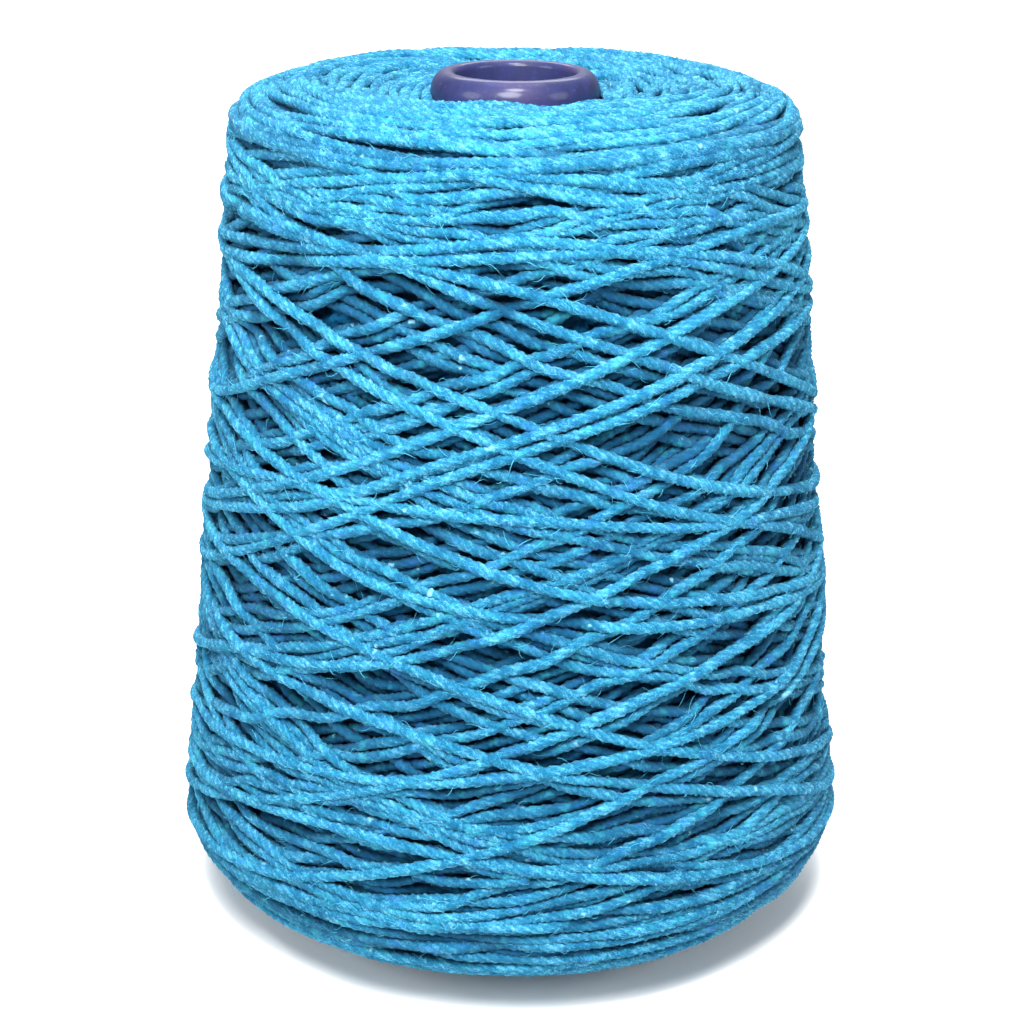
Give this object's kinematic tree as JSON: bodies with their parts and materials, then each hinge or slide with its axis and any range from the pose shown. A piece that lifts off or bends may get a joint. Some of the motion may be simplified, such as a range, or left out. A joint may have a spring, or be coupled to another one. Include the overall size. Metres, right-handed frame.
{
  "type": "yarn cone",
  "caption": "Thick string cross-wound into a tapered package on a conical plastic tube, open at the nose and the foot.",
  "frame": {"origin": "centre of the circle that the tube's foot stands on", "axes": "+Z along the tube's axis, from the foot towards the nose; +Y towards the start notch in the foot"},
  "size_m": [0.1408, 0.1408, 0.175],
  "materials": {
    "tube_plastic": "glossy plum-purple moulding",
    "yarn": "soft, fuzzy, softly twisted cotton string in azure blue"
  },
  "bodies": {
    "root": {"cone_tube": "tube_plastic", "start_tail": "yarn", "inner_winding": "yarn", "outer_winding": "yarn"}
  },
  "joints": []
}
